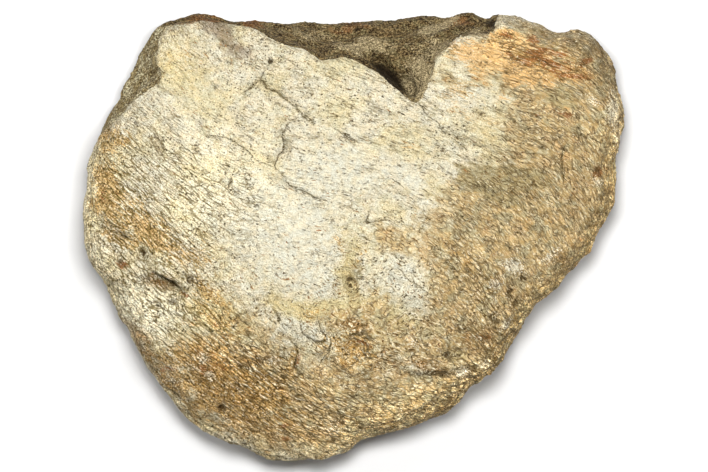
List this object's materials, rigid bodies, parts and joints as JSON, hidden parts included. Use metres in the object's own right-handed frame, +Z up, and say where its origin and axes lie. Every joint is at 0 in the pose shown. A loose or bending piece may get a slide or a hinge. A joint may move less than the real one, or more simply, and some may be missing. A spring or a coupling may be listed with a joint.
{
  "type": "fossil triceratops frill section",
  "caption": "Thick slab of fossil dinosaur frill bone with a fibrous outer face, a worn underside and a notched, broken back edge.",
  "frame": {"origin": "on the resting plane, under the middle of the slab's box", "axes": "+X along the slab's longest side, +Y towards its broken back edge, +Z up through its thickness"},
  "size_m": [0.19, 0.1582, 0.042],
  "materials": {
    "fossil_bone": "matt, fibrous, cream to ochre with darker pores"
  },
  "bodies": {
    "root": {"frill_section": "fossil_bone"}
  },
  "joints": []
}
